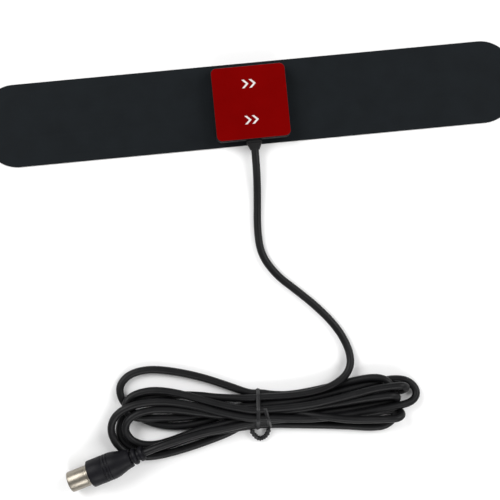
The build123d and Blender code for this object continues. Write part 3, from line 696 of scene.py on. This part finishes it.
def strain_relief():
    low, high = box_of("strain_relief")
    wall = box_of("housing_cover")[0][1]
    low_z, high_z = RELIEF_BOTTOM_Z, RELIEF_TOP_Z
    flange, neck, wide = RELIEF_FLANGE_WIDTH, RELIEF_NECK_WIDTH - 0.1, RELIEF_WIDTH
    inner = wall + COVER_WALL
    rings = [
        section(high[1] - 0.05, flange - 0.6, 2.5, high_z - 0.3, 1.0),
        section(high[1] - 0.35, flange, 2.3, high_z - 0.1, 1.2),
        section(inner + 0.2, flange, 2.3, high_z - 0.1, 1.2),
        section(inner + 0.05, neck, 2.3, high_z - 0.1, 1.0),
        section(wall - 0.02, neck, 2.3, high_z - 0.1, 1.0),
        section(wall - 0.1, wide - 0.3, low_z + 0.1, high_z - 0.15, RELIEF_CORNER),
        section(wall - 0.3, wide, low_z, high_z, RELIEF_CORNER),
        section(wall - 1.05, wide, low_z, high_z, RELIEF_CORNER),
        section(wall - 1.2, wide - 0.35, low_z + 0.05, high_z - 0.18, RELIEF_CORNER),
        section(wall - 1.4, wide - 0.35, low_z + 0.05, high_z - 0.18, RELIEF_CORNER),
        section(wall - 1.55, wide, low_z, high_z, RELIEF_CORNER),
        section(wall - 1.95, wide - 0.1, low_z + 0.05, high_z - 0.05, RELIEF_CORNER + 0.2),
    ]
    end, start = low[1], wall - 2.1
    for i in range(RELIEF_STEPS + 1):
        t = i / RELIEF_STEPS
        ease = t * t * (3 - 2 * t)
        half_x = RELIEF_FLARE_HALF_X + (RELIEF_TIP_RADIUS - RELIEF_FLARE_HALF_X) * ease
        half_z = RELIEF_FLARE_HALF_Z + (RELIEF_TIP_RADIUS - RELIEF_FLARE_HALF_Z) * ease
        y = start + (end - start) * t
        rings.append(section(y, 2 * half_x, CORD_Z - half_z, CORD_Z + half_z, RELIEF_TIP_RADIUS))
    rings.append(section(end, 2 * 1.95, CORD_Z - 1.95, CORD_Z + 1.95, 1.95))
    rings.append(section(end + 0.4, 2 * 1.8, CORD_Z - 1.8, CORD_Z + 1.8, 1.8))
    mesh = ring_mesh("relief_sleeve", rings)
    return add_piece("relief_sleeve", mesh, MATERIALS["relief_grey"], ["strain_relief"])


# ---------------------------------------------------------------- the lead

def plug_point(station):
    return PLUG_TIP + PLUG_AXIS * station


def layer_z(level):
    return FLOOR_Z + level * LAYER_HEIGHT


def lead_points():
    """The lead's points from the box to the plug. The second list says which of them may settle."""
    points = [Vector(p) for p in RUN]
    free = [False] * len(points)
    for turn, stretch in enumerate(HANK):
        for x, y, level, *held in stretch:
            points.append(Vector((x, y, layer_z(level))))
            free.append(not held)
        if turn < len(WAIST):
            y, level = WAIST[turn]
            places = WAIST_X if turn % 2 else reversed(WAIST_X)
            for x in places:
                points.append(Vector((x, y, layer_z(level) + TIE_GAP)))
                free.append(False)
    for station in (TAIL_BEND_STATION, TAIL_MOUTH_STATION, 26.0, TAIL_END_STATION):
        points.append(plug_point(station))
        free.append(False)
    return np.array(points, float), np.array(free)


def spline_weights(count, per_span=3):
    """The share that each point has in samples of the smooth line that they steer."""
    rows = []
    for i in range(1, count - 1):
        for k in range(per_span):
            t = (k + 0.5) / per_span
            row = np.zeros(count)
            row[i - 1] = 0.5 * (1 - t) ** 2
            row[i] = 0.5 + t - t * t
            row[i + 1] = 0.5 * t * t
            rows.append(row)
    return np.array(rows)


def settle(points, free):
    """Lets the strands fall on each other: they don't pass through each other or the floor."""
    home = points.copy()
    weights = spline_weights(len(points))
    samples = len(weights)
    order = np.arange(samples)
    far_apart = np.abs(order[:, None] - order[None, :]) > SETTLE_NEIGHBOURS
    share = weights / np.maximum(weights.sum(0), 1e-9)
    for step in range(SETTLE_STEPS):
        falling = step < SETTLE_STEPS * SETTLE_FALL_SHARE
        if falling:
            points[free, 2] -= SETTLE_FALL
        shift = points[:, :2] - home[:, :2]
        shift[1:-1] += ((shift[:-2] + shift[2:]) / 2 - shift[1:-1]) * SETTLE_EVEN
        points[free, :2] = home[free, :2] + shift[free] * (1 - SETTLE_PULL)
        middle = (points[:-2] + points[2:]) / 2 - points[1:-1]
        inner = free[1:-1]
        points[1:-1][inner, 2] += middle[inner, 2] * SETTLE_SMOOTH
        line = weights @ points
        gap = line[:, None, :] - line[None, :, :]
        distance = np.sqrt((gap ** 2).sum(2)) + 1e-6
        close = (distance < CORD_DIAMETER) & far_apart
        push = np.where(close, (CORD_DIAMETER - distance) / distance, 0.0)
        move = (gap * push[:, :, None] * SETTLE_PUSH).sum(1)
        count = np.maximum(close.sum(1), 1)[:, None]
        move = share.T @ (move / count)
        points[free] += move[free]
        points[free, 2] = np.maximum(points[free, 2], FLOOR_Z)
    return points


def lead():
    points, free = lead_points()
    points = settle(points, free)
    curve = bpy.data.curves.new("lead", "CURVE")
    curve.dimensions = "3D"
    spline = curve.splines.new("NURBS")
    spline.points.add(len(points) - 1)
    for slot, point in zip(spline.points, points):
        slot.co = (*(c * MM for c in point), 1)
    spline.order_u = 3
    spline.use_endpoint_u = True
    spline.resolution_u = 8
    curve.bevel_depth = CORD_DIAMETER / 2 * MM
    curve.bevel_resolution = 6
    curve.use_fill_caps = True
    curve.materials.append(MATERIALS["cable_black"])
    piece = bpy.data.objects.new("lead", curve)
    bpy.context.scene.collection.objects.link(piece)
    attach(piece, BODY)
    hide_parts("cable_run", "cable_hank", "cable_tail")
    return piece


# ---------------------------------------------------------------- the twist tie

def waist_hull():
    """The tight outline round the strands at the waist, as (y, z, outward y, outward z)."""
    centres = [(y, layer_z(level) + TIE_GAP) for y, level in WAIST]
    hull = []
    for i in range(TIE_STEPS):
        angle = 2 * math.pi * i / TIE_STEPS
        out_y, out_z = math.cos(angle), math.sin(angle)
        y, z = max(centres, key=lambda c: c[0] * out_y + c[1] * out_z)
        radius = CORD_DIAMETER / 2 + TIE_LIFT
        hull.append((y + out_y * radius, z + out_z * radius, out_y, out_z))
    return hull


def tie_band(name, x_far, x_near, start, stop, nodes=()):
    """A band of the tie over part of the hull, which slants from x_far at the far side to x_near."""
    hull = waist_hull()
    far = max(h[0] for h in hull)
    near = min(h[0] for h in hull)
    rings = []
    for i in range(start, stop):
        y, z, out_y, out_z = hull[i % TIE_STEPS]
        blend = (far - y) / (far - near)
        x = x_far + (x_near - x_far) * blend
        rings.append([(x + a, y + out_y * b, max(0.03, z + out_z * b)) for a, b in TIE_SECTION])
    mesh = ring_mesh(name, rings, closed=stop - start == TIE_STEPS)
    return add_piece(name, mesh, MATERIALS["tie_black"], nodes, sharp=60)


def smooth_path(points, steps):
    """Points along a curve through the given ones."""
    result = []
    padded = [points[0]] + points + [points[-1]]
    for i in range(1, len(padded) - 2):
        p0, p1, p2, p3 = (Vector(padded[i + k]) for k in (-1, 0, 1, 2))
        for k in range(steps):
            t = k / steps
            result.append(0.5 * (2 * p1 + (p2 - p0) * t + (2 * p0 - 5 * p1 + 4 * p2 - p3) * t * t
                                 + (3 * p1 - p0 - 3 * p2 + p3) * t ** 3))
    result.append(Vector(points[-1]))
    return result


def tie_tail():
    """The tie's two ends, twisted round each other below the waist."""
    path = smooth_path(TIE_TAIL, TIE_PATH_STEPS)
    rings = []
    for i, centre in enumerate(path):
        ahead = path[min(i + 1, len(path) - 1)] - path[max(i - 1, 0)]
        ahead.normalize()
        side = ahead.cross(Vector((0, 0, 1))).normalized()
        up = side.cross(ahead).normalized()
        turn = 2 * math.pi * TIE_TWISTS * i / (len(path) - 1)
        taper = min(1.0, 0.35 + 0.65 * min(i, len(path) - 1 - i) / 6)
        ring = []
        for k in range(TIE_TAIL_SEGMENTS):
            angle = 2 * math.pi * k / TIE_TAIL_SEGMENTS
            wide = TIE_TAIL_WIDE * taper * math.cos(angle)
            thin = TIE_TAIL_THIN * taper * math.sin(angle)
            across = wide * math.cos(turn) - thin * math.sin(turn)
            upward = wide * math.sin(turn) + thin * math.cos(turn)
            ring.append(centre + side * across + up * upward)
        rings.append(ring)
    mesh = ring_mesh("tie_tail", rings)
    return add_piece("tie_tail", mesh, MATERIALS["tie_black"], sharp=60)


def twist_tie():
    hull = waist_hull()
    tops = [i for i in range(TIE_STEPS // 2) if hull[i][0] <= TIE_SECOND_START_Y]
    first = tie_band("tie_band_a", TIE_FIRST_X[0], TIE_FIRST_X[1], 0, TIE_STEPS, ["twist_tie"])
    last = int(TIE_STEPS * TIE_SECOND_END)
    second = tie_band("tie_band_b", TIE_SECOND_X[0], TIE_SECOND_X[1], tops[0], last)
    return [first, second, tie_tail()]


# ---------------------------------------------------------------- the plug

def plug_grip():
    """The moulded grip: fine rings on its body, a taper, and a boot with ribs."""
    profile = [(10.6, 0), (10.6, 5.0), (10.0, 5.0), (10.0, 5.3), (10.05, 5.75), (10.3, 6.1), (10.8, 6.2)]
    for ring in GRIP_RINGS:
        profile += [(ring - 0.32, 6.2), (ring - 0.22, 6.12), (ring - 0.1, 5.95), (ring + 0.1, 5.95),
                    (ring + 0.22, 6.12), (ring + 0.32, 6.2)]
    for k in range(1, 9):
        t = k / 8
        ease = t * t * (3 - 2 * t)
        profile.append((20.8 + 9.2 * t, 6.2 + (4.1 - 6.2) * (0.35 * t + 0.65 * ease)))
    profile += [
        (30.15, 4.0), (30.3, 3.2), (30.5, 2.8), (31.1, 2.8), (31.3, 3.1), (31.4, 3.65), (31.6, 3.8),
        (32.8, 3.75), (33.0, 3.6), (33.15, 2.9), (33.4, 2.6), (34.3, 2.6), (34.5, 2.8), (34.6, 3.25),
        (34.8, 3.4), (36.0, 3.35), (36.25, 3.1), (36.4, 2.5), (36.8, 2.3), (36.8, 1.9), (36.4, 1.8),
        (36.4, 0),
    ]
    mesh = ring_mesh("grip_body", lathe(open_profile(profile)))
    return add_piece("grip_body", mesh, MATERIALS["grip_black"], ["plug_grip"], sharp=40)


def open_profile(profile):
    """The profile with its points on the axis moved just off it, so that the end caps are small rings."""
    return [(station, max(radius, 0.05)) for station, radius in profile]


def plug_barrel():
    """The push-on barrel: a thin rolled lip, a shallow groove, a collar and its wall inside."""
    profile = [
        (15.4, 4.2), (0.8, 4.15), (0.35, 4.2), (0.08, 4.3), (0.0, 4.42), (0.06, 4.58), (0.25, 4.7),
        (0.6, 4.75), (8.3, 4.75), (8.5, 4.68), (8.8, 4.66), (9.1, 4.68), (9.3, 4.75), (9.9, 4.75),
        (10.0, 4.9), (15.4, 4.9),
    ]
    mesh = ring_mesh("barrel_shell", lathe(profile), closed=True)
    return add_piece("barrel_shell", mesh, MATERIALS["nickel"], ["plug_barrel"], sharp=40)


# ---------------------------------------------------------------- the stage

def floor():
    half = FLOOR_HALF / MM
    corners = [(-half, -half, 0), (half, -half, 0), (half, half, 0), (-half, half, 0)]
    mesh = mesh_from("floor", corners, [(0, 1, 2, 3)])
    material, nodes, links = node_tree("floor_white")
    shader = nodes["Principled BSDF"]
    vector = nodes.new("ShaderNodeTexCoord").outputs["Object"]
    tone = ramp(nodes, links, noise(nodes, links, vector, 3.0), FLOOR_DARK, FLOOR_LIGHT)
    links.new(tone, shader.inputs["Base Color"])
    shader.inputs["Roughness"].default_value = 0.9
    shader.inputs["Specular IOR Level"].default_value = 0.1
    mesh.materials.append(material)
    ground = bpy.data.objects.new("floor", mesh)
    bpy.context.scene.collection.objects.link(ground)


def softbox(name, place, size, power):
    light = bpy.data.lights.new(name, "AREA")
    light.shape = "RECTANGLE"
    light.size, light.size_y = size
    light.energy = power
    lamp = bpy.data.objects.new(name, light)
    lamp.location = place
    target = Vector((0, -0.07, 0))
    lamp.rotation_euler = (target - Vector(place)).to_track_quat("-Z", "Y").to_euler()
    bpy.context.scene.collection.objects.link(lamp)


def studio():
    softbox("key", (-0.75, 0.55, 0.95), (0.8, 0.8), 13)
    softbox("fill", (0.95, 0.25, 0.9), (0.8, 0.8), 10)
    softbox("front", (0.1, -1.15, 0.9), (1.0, 0.6), 10)
    world = bpy.data.worlds.new("world")
    bpy.context.scene.world = world
    world.use_nodes = True
    world.node_tree.nodes["Background"].inputs["Color"].default_value = (1, 1, 1, 1)
    world.node_tree.nodes["Background"].inputs["Strength"].default_value = 0.30
    bpy.context.scene.view_settings.view_transform = "Standard"


def camera():
    data = bpy.data.cameras.new("camera")
    data.sensor_width = SENSOR
    data.lens = LENS
    data.clip_end = 20
    eye = bpy.data.objects.new("camera", data)
    turn = Matrix.Rotation(CAMERA_TURN, 3, "Z") @ Matrix.Rotation(-CAMERA_TILT, 3, "Y")
    eye.location = (Vector(CAMERA_AIM) + turn @ Vector((0, 0, CAMERA_DISTANCE))) * MM
    eye.rotation_euler = turn.to_euler()
    bpy.context.scene.collection.objects.link(eye)
    bpy.context.scene.camera = eye


# ---------------------------------------------------------------- the whole scene

camera()
studio()
floor()
paint_nodes()
film("back_sheet", "back_film", "film_black", True)
film("front_sheet", "front_film", "film_black", False)
housing_cover()
foam_tape()
release_liner()
liner_marks()
relief = strain_relief()
cord = lead()
tie = twist_tie()
grip = plug_grip()
barrel = plug_barrel()
